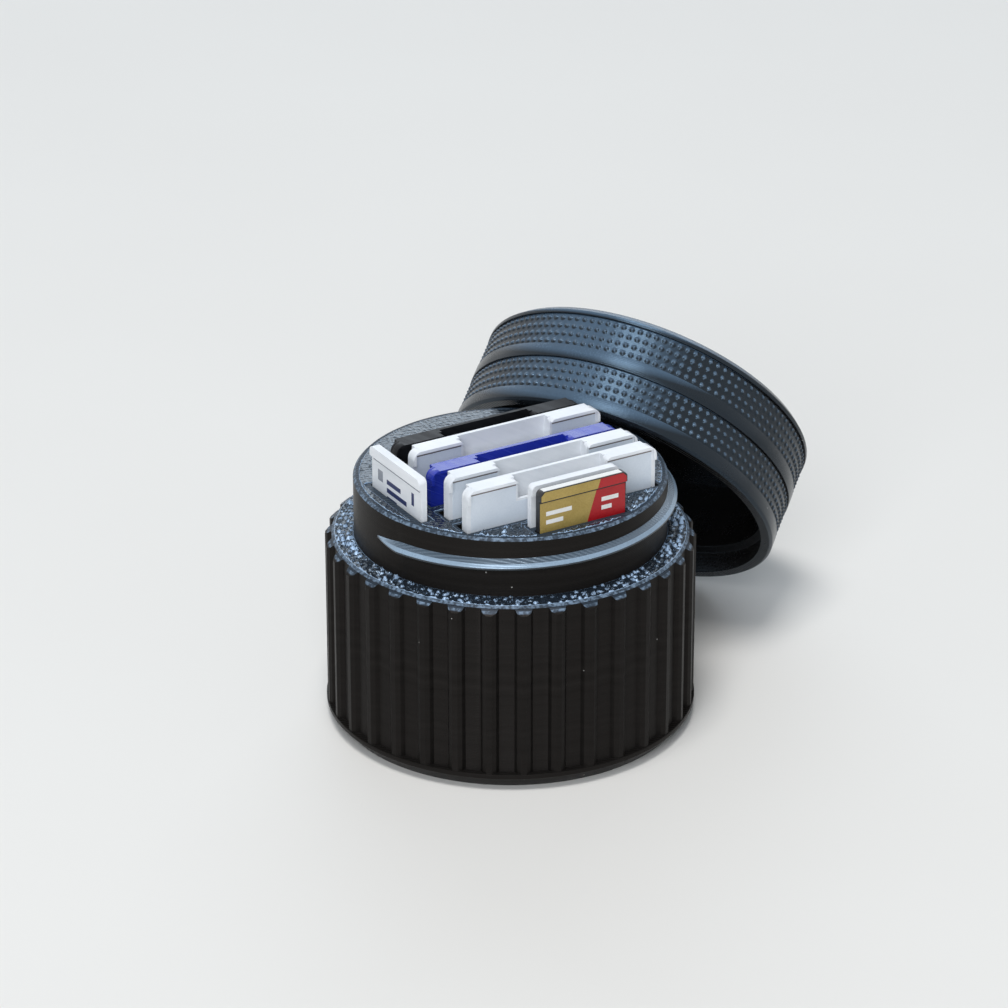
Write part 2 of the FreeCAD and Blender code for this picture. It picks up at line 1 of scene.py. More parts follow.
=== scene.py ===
import json
import math
from collections import namedtuple

import bmesh
import bpy
from mathutils import Matrix, Vector, noise


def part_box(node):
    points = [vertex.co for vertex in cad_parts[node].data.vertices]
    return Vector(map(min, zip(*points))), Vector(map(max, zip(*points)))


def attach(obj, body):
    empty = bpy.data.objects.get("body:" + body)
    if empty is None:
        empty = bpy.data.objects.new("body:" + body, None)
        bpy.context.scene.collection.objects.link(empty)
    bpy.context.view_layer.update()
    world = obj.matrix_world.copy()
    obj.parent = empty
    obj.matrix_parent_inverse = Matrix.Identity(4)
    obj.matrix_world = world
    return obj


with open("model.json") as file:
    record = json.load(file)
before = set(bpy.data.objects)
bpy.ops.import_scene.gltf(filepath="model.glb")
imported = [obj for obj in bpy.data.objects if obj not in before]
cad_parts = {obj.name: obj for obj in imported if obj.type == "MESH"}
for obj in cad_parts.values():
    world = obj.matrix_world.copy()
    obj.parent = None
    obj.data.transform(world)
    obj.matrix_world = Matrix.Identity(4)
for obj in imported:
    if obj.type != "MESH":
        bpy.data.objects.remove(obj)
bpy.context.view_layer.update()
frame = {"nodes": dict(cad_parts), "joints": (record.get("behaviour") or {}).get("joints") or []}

# Looks of a round screw-top memory card case with its lid leaning behind it.
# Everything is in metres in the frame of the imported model. Sizes that the frame doesn't give are
# written in millimetres times MM.

MM = 0.001
FULL_TURN = 2 * math.pi
RIGHT = Vector((1, 0, 0))
LEFT = Vector((-1, 0, 0))
FRONT = Vector((0, -1, 0))
UP = Vector((0, 0, 1))

# Camera, in the photograph's frame, with its sensor in plain millimetres
IMAGE_PIXELS = 1008
FOCAL_PIXELS = 4500.0
SENSOR = 36.0
CAMERA_AZIMUTH = math.radians(-30.5)
CAMERA_ELEVATION = math.radians(25.3)
CAMERA_ROLL = math.radians(-0.05)
CAMERA_DISTANCE = 502.5 * MM
CAMERA_TARGET = Vector((-0.62, 0.366, 25.03)) * MM
NEAREST_SEEN = 10 * MM

# Lights about the case, with angles in degrees, and the surround
LIGHTS = {
    "back_light": dict(azimuth=150, elevation=25, distance=1.2, width=1.2, height=0.43,
                       power=3.4, colour=(0.72, 0.86, 1.0)),
    "top_light": dict(azimuth=-50, elevation=76, distance=1.2, width=0.44, height=0.44,
                      power=7.9, colour=(0.97, 0.985, 1.0)),
    "front_fill": dict(azimuth=-40, elevation=30, distance=1.4, width=0.78, height=0.78,
                       power=12.0, colour=(0.89, 0.94, 1.0)),
}
SURROUND_COLOUR = (0.78, 0.89, 1.0, 1.0)
SURROUND_STRENGTH = 0.2
SEEN_COLOUR = (1.0, 1.0, 1.0, 1.0)

# Floor
FLOOR_HALF = 2.0
FLOOR_CLOUD = 60 * MM
FLOOR_TONES = ((0.80, 0.765, 0.72), (0.83, 0.80, 0.755))
FLOOR_ROUGHNESS = 0.6

# Ranges of a noise over which roughness and tone change
CLOUDY = (0.3, 0.7)
TONE_RANGE = (0.35, 0.65)
# Random value above which a cell of a pattern carries a speck
SPECK_FROM = 0.55

# Printed plastic: its layers, the strands on its flats, and its unevenness
LAYER = 0.2 * MM
LAYER_SHARE = 0.3
STRAND = 0.45 * MM
STRAND_SLANT = math.radians(45)
WANDER = 0.9 * MM
PRINT_GRAIN = 0.25 * MM
PRINT_GRAIN_SHARE = 0.8
PRINT_CLOUD = 6 * MM
PRINT_CLOUD_SHARE = 0.6
PRINT_RELIEF = 0.02 * MM
PRINT_RELIEF_STRENGTH = 0.55
PRINT_SMOOTHEST_SHARE = 0.7
DUST_SPACING = 2.2 * MM
DUST_SHARE = 0.035
DUST_TONE = (0.42, 0.41, 0.39)
WALL_TONES = ((0.0045, 0.004, 0.0036), (0.011, 0.0098, 0.009))
# Painted highlight on the tips of the lid's studs
TIP_HIGHLIGHT_TONE = (0.075, 0.105, 0.145)
# Part of the normal along the axis over which strands take over from layers, and over which flats take a
# painted sheen
FLAT_FACING = (0.75, 0.95)
LEVEL_FACING = (0.3, 0.85)
# Upward part of the normal at which a painted highlight begins, is full, begins to end and has ended
SLOPES = (0.3, 0.5, 0.8, 0.93)
# Band for painted glints on the grain's slopes
GLINTS = (-1.0, -0.5, 0.8, 0.92)
# On the lid, where it is a painted sheen on the upper side, it begins at a share of the greatest upward part
# that its wall has, and never ends
TOPSIDE_SHEEN_SHARE = 0.84
NO_END = (2.0, 3.0)
# Least strength of the painted sheen and highlights, the distance over which they set in, and the same for
# outward faces
PATCH_LEAST = 0.7
PALE_RISE = 0.12 * MM
OUTWARD_RISE = 3 * MM
# Height under everything, for plastic that carries its painted sheen and highlights from its foot up
FAR_BELOW = -1.0
# Gaps in the painted highlight along edges
GAP_SIZE = 0.45 * MM
GAP_RANGE = (0.42, 0.64)
GAP_LEAST = 0.12

# Finishes of printed plastic, with the tint of the shine, the painted sheen tone of flats and the painted
# highlight tone of slopes
Finish = namedtuple("Finish", "shine sheen roughest flat_tone pale_tone")
PALE_SHEEN = (0.70, 0.85, 1.0)
# Paler, bluer tone of flats: painted sheen
FLAT_SHEEN_TONE = (0.028, 0.042, 0.060)
# Base: its pale tone is a painted highlight on chamfers, rib tops and the neck's rim
BASE_FINISH = Finish(shine=0.1, sheen=(1.0, 0.91, 0.87), roughest=0.44,
                     flat_tone=FLAT_SHEEN_TONE, pale_tone=(0.19, 0.26, 0.35))
# Lid: its pale tone is a painted sheen on its upper side
LID_FINISH = Finish(shine=0.42, sheen=(0.48, 0.73, 1.0), roughest=0.3,
                    flat_tone=(0.012, 0.0145, 0.018), pale_tone=(0.066, 0.105, 0.155))
# Grain: its pale tone is painted glints on its slopes
GRAIN_FINISH = Finish(shine=0.9, sheen=PALE_SHEEN, roughest=0.26,
                      flat_tone=(0.013, 0.020, 0.030), pale_tone=(0.33, 0.46, 0.64))
# Thread bead: its pale tone is a painted highlight on its upper flank
RIDGE_FINISH = Finish(shine=0.9, sheen=PALE_SHEEN, roughest=0.3,
                      flat_tone=FLAT_SHEEN_TONE, pale_tone=(0.25, 0.34, 0.44))

# Base, as far as its dress needs it
NECK_HEIGHT = 6.9 * MM
NECK_EDGE = 0.3 * MM
NECK_CLEARANCE = 0.05 * MM
SHOULDER_EDGE = 0.3 * MM
TOUCH = 0.01 * MM
# Height from which flats take a painted sheen and slopes a painted highlight, partway up the slanting tops
# of the ribs
PALE_HEIGHT = 21.5 * MM
# Painted shade: a dark line between the shoulder's edge and the tops of the ribs
SHADE_BAND_HEIGHT = 21.86 * MM
SHADE_BAND_HALF = 0.09 * MM

# Rough grain on the shoulder and the top face, with shifts that keep its noises apart
COARSE_GRAIN = 0.42 * MM
FINE_GRAIN = 0.24 * MM
FINE_SHARE = 0.7
FINE_SHIFT = UP * 7
GRAIN_FLOOR = 0.02
GRAIN_PATCH = 5 * MM
PATCH_SHIFT = UP * 3
PATCH_MEAN = 0.75
PATCH_SWING = 0.8
PATCH_WEAKEST = 0.6
GRAIN_LIFT = 0.01 * MM
GRAIN_SKIRT = 0.04 * MM
SHOULDER_ROUGHNESS = 0.75 * MM
SHOULDER_COLUMNS = 960
SHOULDER_ROWS = 16
SHOULDER_FADE_ROWS = 2
TOP_ROUGHNESS = 0.6 * MM
TOP_CELL = 0.15 * MM
TOP_BACK_SHARE = 0.3
SLOT_MARGIN = 0.5 * MM

# Thread ridge on the neck, and the bead that lies over it
THREAD_START = math.radians(-163)
THREAD_TURNS = 0.75
THREAD_PITCH = 2.1 * MM
THREAD_DROP = 3.35 * MM
BEAD_STEPS = 220
BEAD_FADE = math.radians(14)
BEAD_THINNEST_SHARE = 0.3
BEAD_BITE = 0.05 * MM
# Distance from the neck and height above the ridge's middle
BEAD_SECTION = [
    (1.08 * MM, -0.12 * MM),
    (1.08 * MM, 0.09 * MM),
    (0.72 * MM, 0.45 * MM),
    (-BEAD_BITE, 0.82 * MM),
    (-BEAD_BITE, -0.45 * MM),
]

# Lid bands, as shares of its height, and their studs
Lid = namedtuple("Lid", "centre axis level slope radius height")
RIM_STRIP_SHARE = 0.14
KNURL_BAND_SHARE = 0.32
MIDDLE_STRIP_SHARE = 0.13
KNURL_DEPTH = 0.3 * MM
KNURL_BITE = 0.05 * MM
KNURL_COUNT = 126
KNURL_ROWS = 4
STUD_STEPS = 8
STUD_FALL = 3.2
STUD_FOOT_SHARE = 0.2
STUD_RISE_SHARE = 0.75
# Depth under the lid's surface at which the painted highlight on a stud's tip begins and is full, as a share
# of the knurl's
TIP_HIGHLIGHT_SHARES = (0.5, 0.1)

# Widths of rounded edges, the angles in degrees above which an edge is rounded, and the weld before it
BASE_EDGE = 0.12 * MM
LID_EDGE = 0.1 * MM
CARD_EDGE = 0.12 * MM
LOCK_EDGE = 0.08 * MM
MICRO_EDGE = 0.06 * MM
BEAD_EDGE = 0.08 * MM
PRINT_SHARPEST = 20
CARD_SHARPEST = 40
BEAD_SHARPEST = 25
WELD_REACH = 0.0005 * MM

# Cards and their plastics
SD_CARDS = {
    "sd_white_front": "white",
    "sd_white_second": "white",
    "sd_blue": "blue",
    "sd_white_fourth": "white",
    "sd_black": "black",
}
MICRO_CARDS = {"micro_gold": "micro_black", "micro_white": "micro_white", "micro_side": "micro_white"}

# Moulded plastics: material, darker and lighter tone, least and greatest roughness, strength of the shine
CARD_PLASTICS = {
    "white": ("card_white_plastic", (0.74, 0.76, 0.79), (0.84, 0.85, 0.87), 0.28, 0.4, 0.35),
    "blue": ("card_blue_plastic", (0.013, 0.028, 0.32), (0.023, 0.042, 0.42), 0.2, 0.3, 0.5),
    "black": ("card_black_plastic", (0.006, 0.006, 0.007), (0.012, 0.012, 0.014), 0.36, 0.5, 0.12),
    "micro_black": ("micro_black_plastic", (0.01, 0.01, 0.011), (0.02, 0.02, 0.022), 0.32, 0.46, 0.5),
    "micro_white": ("micro_white_plastic", (0.74, 0.76, 0.79), (0.83, 0.84, 0.86), 0.3, 0.42, 0.35),
    "lock": ("lock_grey_plastic", (0.27, 0.28, 0.3), (0.38, 0.39, 0.41), 0.35, 0.5, 0.5),
}
CARD_GRAIN = 0.12 * MM
CARD_CLOUD = 5 * MM
CARD_CLOUD_SHARE = 0.7
CARD_RELIEF = 0.006 * MM
CARD_RELIEF_STRENGTH = 0.5
MARK_DIRECTION = (0.6, 0.2, 1.0)
MARK_SIZE = 0.7 * MM

# Inks and films: material, darker and lighter tone, metallic part
INKS = {
    "gold": ("ink_gold", (0.34, 0.24, 0.06), (0.44, 0.32, 0.098), 0.25),
    "red": ("ink_red", (0.33, 0.004, 0.008), (0.42, 0.007, 0.012), 0.0),
    # White ink, for print and for the painted highlight strip on the gold card's top edge
    "white": ("ink_white", (0.74, 0.73, 0.7), (0.84, 0.83, 0.8), 0.0),
    "navy": ("ink_navy", (0.012, 0.02, 0.085), (0.02, 0.03, 0.12), 0.0),
    "grey": ("ink_grey", (0.2, 0.22, 0.26), (0.28, 0.3, 0.34), 0.0),
    # Blank label film, darker and bluer than the card's white: painted shade of the cards' fronts
    "film": ("shaded_label_film", (0.66, 0.715, 0.78), (0.72, 0.77, 0.83), 0.0),
    # Dark strip along the top of the blank label: painted shade under the step above the sunk panel
    "line": ("painted_shade_line", (0.16, 0.14, 0.13), (0.24, 0.21, 0.2), 0.0),
}
INK_MOTTLE = 0.18 * MM
INK_CLOUD = 3 * MM
INK_MOTTLE_SHARE = 0.5
INK_ROUGHNESS = (0.38, 0.5)

# Gold plate of the contacts
PLATE_TONES = ((0.72, 0.46, 0.15), (0.9, 0.66, 0.28))
PLATE_ROUGHNESS = (0.2, 0.36)
BRUSH_DIRECTION = (1.0, 0.7, 0.05)
BRUSH_SIZE = 0.08 * MM
WEAR_SIZE = 0.7 * MM
# Relief of inks and plate
FINE_RELIEF = 0.004 * MM
FINE_RELIEF_STRENGTH = 0.4

# Labels, which sink into their face as far as they stand out of it
LABEL_RISE = 0.02 * MM
BAR_RISE = LABEL_RISE / 2
LABEL_EDGE = 0.1 * MM
# Grip lip of a small card, the bare strip in its shade and the label's cut corners
LIP_LENGTH = 1.2 * MM
LIP_RISE = 0.3 * MM
LIP_SHADE = 0.3 * MM
CORNER = 0.45 * MM
# Split between gold and red: its place across the label, and how far it leans for its height
SPLIT_SHARE = 0.66
SPLIT_LEAN_SHARE = 0.32
# Plain bars: left edge as a share of the width, foot, width as a share, height
GOLD_BARS = [
    (0.07, -1.6 * MM, 0.30, 0.5 * MM),
    (0.07, -2.6 * MM, 0.20, 0.5 * MM),
    (0.72, -1.5 * MM, 0.20, 0.5 * MM),
    (0.72, -2.5 * MM, 0.12, 0.5 * MM),
    (0.07, -6.5 * MM, 0.34, 0.6 * MM),
]
# The same with their ink
SIDE_BARS = [
    # Thin grey bar just under the lip: painted shade of the lip
    (0.03, -0.42 * MM, 0.94, 0.12 * MM, "grey"),
    (0.12, -2.5 * MM, 0.10, 1.3 * MM, "grey"),
    (0.30, -2.3 * MM, 0.28, 0.55 * MM, "navy"),
    (0.30, -3.3 * MM, 0.40, 0.55 * MM, "navy"),
    (0.30, -4.3 * MM, 0.20, 0.55 * MM, "navy"),
    (0.80, -2.6 * MM, 0.05, 1.5 * MM, "navy"),
    (0.12, -8.0 * MM, 0.70, 0.8 * MM, "navy"),
]
# Blank label in the sunk panel of a white card, from its middle and its top edge, with a dark strip of
# painted shade along its top
BLANK_HALF_WIDTH = 11.5 * MM
BLANK_TOP = 0.7 * MM
BLANK_SHADE_LINE = 0.14 * MM
BLANK_FOOT = 25.5 * MM
PANEL_DEPTH = 0.35 * MM
NOTCH_HALF_WIDTH = 5.85 * MM
NOTCH_FOOT = 2.6 * MM


class Shader:
    """Material with a Principled shader and short calls that add nodes to it."""

    def __init__(self, name):
        self.material = bpy.data.materials.new(name)
        self.material.use_nodes = True
        self.tree = self.material.node_tree
        self.surface = self.tree.nodes["Principled BSDF"]
        coordinates = self.tree.nodes.new("ShaderNodeTexCoord")
        self.place = coordinates.outputs["Object"]
        self.normal = coordinates.outputs["Normal"]

    def put(self, node, socket, value):
        """Link a socket to an output, or set its constant."""
        if isinstance(value, bpy.types.NodeSocket):
            self.tree.links.new(value, node.inputs[socket])
        else:
            node.inputs[socket].default_value = value

    def node(self, kind, inputs, **settings):
        """New node with its settings and inputs."""
        node = self.tree.nodes.new("ShaderNode" + kind)
        for name, value in settings.items():
            setattr(node, name, value)
        for socket, value in inputs.items():
            self.put(node, socket, value)
        return node

    def math(self, operation, first, second=0.0):
        """Result of arithmetic on one or two numbers."""
        return self.node("Math", {0: first, 1: second}, operation=operation).outputs[0]

    def vector(self, operation, *values):
        """Outputs Vector and Value of arithmetic on vectors."""
        return self.node("VectorMath", dict(enumerate(values)), operation=operation).outputs

    def dot(self, vector, direction):
        """Part of a vector that lies along a fixed direction."""
        return self.vector("DOT_PRODUCT", vector, tuple(direction))["Value"]

    def noise(self, size, detail=2.0):
        """Cloudy value from 0 to 1 with lumps of the given size."""
        inputs = {"Vector": self.place, "Scale": 1 / size, "Detail": detail}
        return self.node("TexNoise", inputs).outputs["Fac"]

    def streaks(self, distance, size, detail):
        """Cloudy value that changes only along a distance."""
        inputs = {"W": distance, "Scale": 1 / size, "Detail": detail}
        return self.node("TexNoise", inputs, noise_dimensions="1D").outputs["Fac"]

    def specks(self, spacing, share):
        """1 at scattered points, as wide as a share of their spacing, and 0 between them."""
        inputs = {"Vector": self.place, "Scale": 1 / spacing, "Randomness": 1.0}
        cells = self.node("TexVoronoi", inputs)
        near = self.math("LESS_THAN", cells.outputs["Distance"], share)
        chosen = self.node("SeparateColor", {0: cells.outputs["Color"]}).outputs[0]
        return self.math("MULTIPLY", near, self.math("GREATER_THAN", chosen, SPECK_FROM))

    def wave(self, distance, length):
        """Even ridges from -1 to 1 along a distance."""
        return self.math("SINE", self.math("MULTIPLY", distance, FULL_TURN / length))

    def span(self, value, low, high, first, last):
        """Map a value from one range to another, held at its ends."""
        inputs = {"Value": value, "From Min": low, "From Max": high, "To Min": first, "To Max": last}
        return self.node("MapRange", inputs).outputs["Result"]

    def ramp(self, value, low, high):
        """Share from 0 to 1 across a range, held at its ends."""
        return self.span(value, low, high, 0.0, 1.0)

    def weigh(self, first, last, share):
        """Sum of a share of one value and the rest of another."""
        return self.math("ADD", self.math("MULTIPLY", first, share), self.math("MULTIPLY", last, 1 - share))

    def blend(self, share, first, last):
        """Number between two numbers."""
        return self.node("Mix", {0: share, 2: first, 3: last}, data_type="FLOAT").outputs[0]

    def tint(self, share, first, last):
        """Colour between two colours."""
        ends = [value if isinstance(value, bpy.types.NodeSocket) else (*value, 1.0)
                for value in (first, last)]
        return self.node("Mix", {0: share, 6: ends[0], 7: ends[1]}, data_type="RGBA").outputs[2]

    def bump(self, height, depth, strength):
        """Normal of a relief of the given depth."""
        inputs = {"Height": height, "Distance": depth, "Strength": strength}
        return self.node("Bump", inputs).outputs["Normal"]

    def finish(self, **sockets):
        """Set the shader's own sockets by name, spaces written as underscores."""
        for name, value in sockets.items():
            value = (*value, 1.0) if isinstance(value, tuple) and len(value) == 3 else value
            self.put(self.surface, name.replace("_", " "), value)
        return self.material


def print_plastic(name, finish, axis, across, band,
                  pale_from=FAR_BELOW, gap_size=None, core=None, highlight_tips=None):
    """Black printed plastic: layered walls, flats with strands and a painted sheen, painted highlights on
    slopes, dust and cloudy gloss.

    Layers follow each other along the axis, and the strands of flats along the direction across. Slopes
    take a painted highlight within a band of upward normals. The painted highlights have gaps of a size,
    with a painted shade line at one height; painted sheen and highlights can be kept to faces that look
    away from a core, and studs take a painted highlight between two distances from its axis.
    """
    shader = Shader(name)
    along = shader.dot(shader.place, axis)
    facing = shader.math("ABSOLUTE", shader.dot(shader.normal, axis))
    flat = shader.ramp(facing, *FLAT_FACING)
    layers = shader.wave(along, LAYER)
    strands = shader.wave(shader.dot(shader.place, across), STRAND)
    wander = shader.streaks(along, WANDER, detail=3.0)
    grain = shader.noise(PRINT_GRAIN, detail=3.0)
    cloud = shader.noise(PRINT_CLOUD)
    blotches = shader.weigh(cloud, grain, PRINT_CLOUD_SHARE)
    uneven = shader.math("ADD", shader.math("MULTIPLY", layers, LAYER_SHARE), wander)
    lines = shader.blend(flat, uneven, strands)
    height = shader.math("ADD", lines, shader.math("MULTIPLY", grain, PRINT_GRAIN_SHARE))
    wall = shader.tint(wander, *WALL_TONES)
    patchy = shader.math("MULTIPLY", shader.span(blotches, *CLOUDY, PATCH_LEAST, 1.0),
                         shader.ramp(along, pale_from, pale_from + PALE_RISE))
    # Faces that look toward the core, such as the lid's inside, keep no painted sheen or highlight
    if core is not None:
        away = shader.vector("SUBTRACT", shader.place, tuple(core))["Vector"]
        outward = shader.vector("DOT_PRODUCT", away, shader.normal)["Value"]
        patchy = shader.math("MULTIPLY", patchy, shader.ramp(outward, 0.0, OUTWARD_RISE))
    # Flats that face along the axis take a paler tone: painted sheen
    level = shader.ramp(facing, *LEVEL_FACING)
    black = shader.tint(shader.math("MULTIPLY", level, patchy), wall, finish.flat_tone)
    # Slopes within the band of upward normals take a pale tone: painted highlight
    upward = shader.dot(shader.normal, UP)
    begin, full, ending, ended = band
    slope = shader.math("MULTIPLY", shader.ramp(upward, begin, full),
                        shader.span(upward, ending, ended, 1.0, 0.0))
    if gap_size is not None:
        gaps = shader.span(shader.noise(gap_size), *GAP_RANGE, GAP_LEAST, 1.0)
        slope = shader.math("MULTIPLY", slope, gaps)
        # A band at one height keeps the plain dark tone: painted shade line under the shoulder's edge
        inputs = {0: along, 1: SHADE_BAND_HEIGHT, 2: SHADE_BAND_HALF}
        shade_band = shader.node("Math", inputs, operation="COMPARE").outputs[0]
        patchy = shader.math("MULTIPLY", patchy, shader.math("SUBTRACT", 1.0, shade_band))
    black = shader.tint(shader.math("MULTIPLY", slope, patchy), black, finish.pale_tone)
    # Stud tips take a paler tone: painted highlight
    if highlight_tips is not None:
        beside = shader.vector("CROSS_PRODUCT", away, tuple(axis))["Vector"]
        distance = shader.vector("LENGTH", beside)["Value"]
        black = shader.tint(shader.ramp(distance, *highlight_tips), black, TIP_HIGHLIGHT_TONE)
    dust = shader.specks(DUST_SPACING, DUST_SHARE)
    return shader.finish(
        Base_Color=shader.tint(dust, black, DUST_TONE),
        Roughness=shader.span(blotches, *CLOUDY, PRINT_SMOOTHEST_SHARE * finish.roughest, finish.roughest),
        Specular_IOR_Level=finish.shine,
        Specular_Tint=finish.sheen,
        Normal=shader.bump(height, PRINT_RELIEF, PRINT_RELIEF_STRENGTH),
    )


def moulded_plastic(name, dark, light, smoothest, roughest, shine):
    """Moulded card plastic: fine spark-eroded grain, cloudy tone and faint handling marks."""
    shader = Shader(name)
    grain = shader.noise(CARD_GRAIN)
    cloud = shader.noise(CARD_CLOUD, detail=3.0)
    marks = shader.streaks(shader.dot(shader.place, MARK_DIRECTION), MARK_SIZE, detail=4.0)
    tone = shader.weigh(cloud, marks, CARD_CLOUD_SHARE)
    return shader.finish(
        Base_Color=shader.tint(shader.ramp(tone, *TONE_RANGE), dark, light),
        Roughness=shader.span(marks, *CLOUDY, smoothest, roughest),
        Specular_IOR_Level=shine,
        Normal=shader.bump(grain, CARD_RELIEF, CARD_RELIEF_STRENGTH),
    )


def printed_ink(name, dark, light, metallic):
    """Ink on a label: flat colour broken by fine mottle."""
    shader = Shader(name)
    mottle = shader.noise(INK_MOTTLE, detail=4.0)
    cloud = shader.noise(INK_CLOUD)
    tone = shader.weigh(mottle, cloud, INK_MOTTLE_SHARE)
    return shader.finish(
        Base_Color=shader.tint(shader.ramp(tone, *TONE_RANGE), dark, light),
        Metallic=metallic,
        Roughness=shader.span(mottle, *CLOUDY, *INK_ROUGHNESS),
        Normal=shader.bump(mottle, FINE_RELIEF, FINE_RELIEF_STRENGTH),
    )


def plated_metal():
    """Gold-plated contact: brushed along its length, with darker wear."""
    shader = Shader("contact_gold_plate")
    brushed = shader.streaks(shader.dot(shader.place, BRUSH_DIRECTION), BRUSH_SIZE, detail=3.0)
    wear = shader.noise(WEAR_SIZE, detail=3.0)
    return shader.finish(
        Base_Color=shader.tint(wear, *PLATE_TONES),
        Metallic=1.0,
        Roughness=shader.span(brushed, *CLOUDY, *PLATE_ROUGHNESS),
        Normal=shader.bump(brushed, FINE_RELIEF, FINE_RELIEF_STRENGTH),
    )


def lid_frame():
    """Centre of the lid's mouth, its axis and two directions across it, and its radius and height."""
    joint = next(item for item in frame["joints"] if item["name"] == "lid_lift")
    axis = Vector(joint["axis"]).normalized()
    level = axis.cross(UP).normalized()
    slope = level.cross(axis)
    points = [vertex.co for vertex in frame["nodes"]["lid"].data.vertices]

    def ends(direction):
        distances = [point.dot(direction) for point in points]
        return min(distances), max(distances)

    mouth, crown = ends(axis)
    left, right = ends(level)
    low, high = ends(slope)
    centre = axis * mouth + level * ((left + right) / 2) + slope * ((low + high) / 2)
    return Lid(centre, axis, level, slope, (right - left) / 2, crown - mouth)


def dress(obj, material, smooth=None):
    """Give a piece its only material, and smooth or flat shading where asked."""
    obj.data.materials.clear()
    obj.data.materials.append(material)
    if smooth is not None:
        for polygon in obj.data.polygons:
            polygon.use_smooth = smooth


def add_mesh(name, work, material, body, smooth=True):
    """New piece from a bmesh, riding on a body, with one material."""
    bmesh.ops.recalc_face_normals(work, faces=work.faces)
    mesh = bpy.data.meshes.new(name)
    work.to_mesh(mesh)
    work.free()
    piece = bpy.data.objects.new(name, mesh)
    bpy.context.scene.collection.objects.link(piece)
    dress(piece, material, smooth)
    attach(piece, body)
    return piece


def join_loops(work, loops):
    """Faces between each closed loop of corners and the following one."""
    for low, high in zip(loops, loops[1:]):
        for corner in range(len(low)):
            following = (corner + 1) % len(low)
            work.faces.new((low[corner], low[following], high[following], high[corner]))


def soft_edges(obj, width, segments=2, sharpest=CARD_SHARPEST):
    """Round the sharp edges of a solid a little, as a mould does."""
    weld = obj.modifiers.new("weld", "WELD")
    weld.merge_threshold = WELD_REACH
    bevel = obj.modifiers.new("soft_edges", "BEVEL")
    bevel.width = width
    bevel.segments = segments
    bevel.limit_method = "ANGLE"
    bevel.angle_limit = math.radians(sharpest)
    bevel.harden_normals = False


def stud_share(row, column):
    """Height of the knurl at a step of its grid, as a share of its depth."""
    upward = (row % STUD_STEPS / STUD_STEPS - 0.5) * 2
    sideways = (column % STUD_STEPS / STUD_STEPS - 0.5) * 2
    stud = max(0.0, 1.0 - (sideways ** 2 + upward ** 2) * STUD_FALL)
    return STUD_FOOT_SHARE + STUD_RISE_SHARE * stud


def knurl_sleeve(name, lid, foot, top, material):
    """Band of rounded studs in straight rows, filling one sunk band of the lid."""
    root = lid.radius - KNURL_DEPTH
    columns = KNURL_COUNT * STUD_STEPS
    rows = KNURL_ROWS * STUD_STEPS
    work = bmesh.new()

    def ring(lift, reaches):
        loop = []
        for column, reach in enumerate(reaches):
            angle = FULL_TURN * column / columns
            spoke = lid.level * math.cos(angle) + lid.slope * math.sin(angle)
            loop.append(work.verts.new(lid.centre + lid.axis * lift + spoke * reach))
        return loop

    rings = []
    for row in range(rows + 1):
        lift = foot + (top - foot) * (row / rows)
        rings.append(ring(lift, [root + KNURL_DEPTH * stud_share(row, column) for column in range(columns)]))
    inner_foot = ring(foot, [root - KNURL_BITE] * columns)
    inner_top = ring(top, [root - KNURL_BITE] * columns)
    join_loops(work, [inner_foot, *rings, inner_top, inner_foot])
    return add_mesh(name, work, material, "lid")


def thread_bead(material, neck_radius, top_z):
    """Bead over the thread ridge, fuller on its upper flank, fading in where the ridge begins."""
    turn = FULL_TURN * THREAD_TURNS
    work = bmesh.new()
    loops = []
    for step in range(BEAD_STEPS + 1):
        angle = THREAD_START - BEAD_FADE + (turn + BEAD_FADE) * step / BEAD_STEPS
        wound = angle - THREAD_START
        grown = min(1.0, 1.0 + wound / BEAD_FADE)
        breadth = BEAD_THINNEST_SHARE + (1 - BEAD_THINNEST_SHARE) * grown
        middle = top_z - THREAD_DROP + THREAD_PITCH * wound / FULL_TURN
        spoke = Vector((math.cos(angle), math.sin(angle), 0))
        loop = []
        for reach, lift in BEAD_SECTION:
            radius = neck_radius + max(reach * grown, -BEAD_BITE)
            loop.append(work.verts.new(spoke * radius + UP * (middle + lift * breadth)))
        loops.append(loop)
    join_loops(work, loops)
    work.faces.new(loops[0])
    work.faces.new(loops[-1][::-1])
    bead = add_mesh("thread_bead", work, material, "case", smooth=False)
    soft_edges(bead, BEAD_EDGE, segments=3, sharpest=BEAD_SHARPEST)
    return bead


def rough_height(point, strength):
    """Height of the print's rough grain at a point of a flat face."""
    coarse = noise.noise(point / COARSE_GRAIN)
    fine = noise.noise(point / FINE_GRAIN + FINE_SHIFT)
    patch = PATCH_MEAN + PATCH_SWING * noise.noise(point / GRAIN_PATCH + PATCH_SHIFT)
    return max(0.0, coarse + FINE_SHARE * fine - GRAIN_FLOOR) * strength * max(PATCH_WEAKEST, patch)


def shoulder_grain(material, inner, outer, level_z):
    """Rough ring that the print leaves on the shoulder, standing a little proud of it."""
    work = bmesh.new()

    def ring(radius, level, roughness):
        loop = []
        for column in range(SHOULDER_COLUMNS):
            angle = FULL_TURN * column / SHOULDER_COLUMNS
            point = Vector((radius * math.cos(angle), radius * math.sin(angle), 0))
            loop.append(work.verts.new(point + UP * (level + rough_height(point, roughness))))
        return loop

    loops = []
    for row in range(SHOULDER_ROWS + 1):
        radius = inner + (outer - inner) * row / SHOULDER_ROWS
        fade = min(1.0, min(row, SHOULDER_ROWS - row) / SHOULDER_FADE_ROWS)
        loops.append(ring(radius, level_z + GRAIN_LIFT, SHOULDER_ROUGHNESS * fade))
    for radius in (outer, inner):
        loops.append(ring(radius, level_z - GRAIN_SKIRT, 0.0))
    join_loops(work, loops + loops[:1])
    return add_mesh("shoulder_grain", work, material, "case")


def slot_boxes():
    """Footprints of the cards, which the top face leaves open."""
    names = [name + "_back_shell" for name in SD_CARDS] + [name + "_front_shell" for name in SD_CARDS]
    names += [name + "_body" for name in MICRO_CARDS]
    return [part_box(name) for name in names]


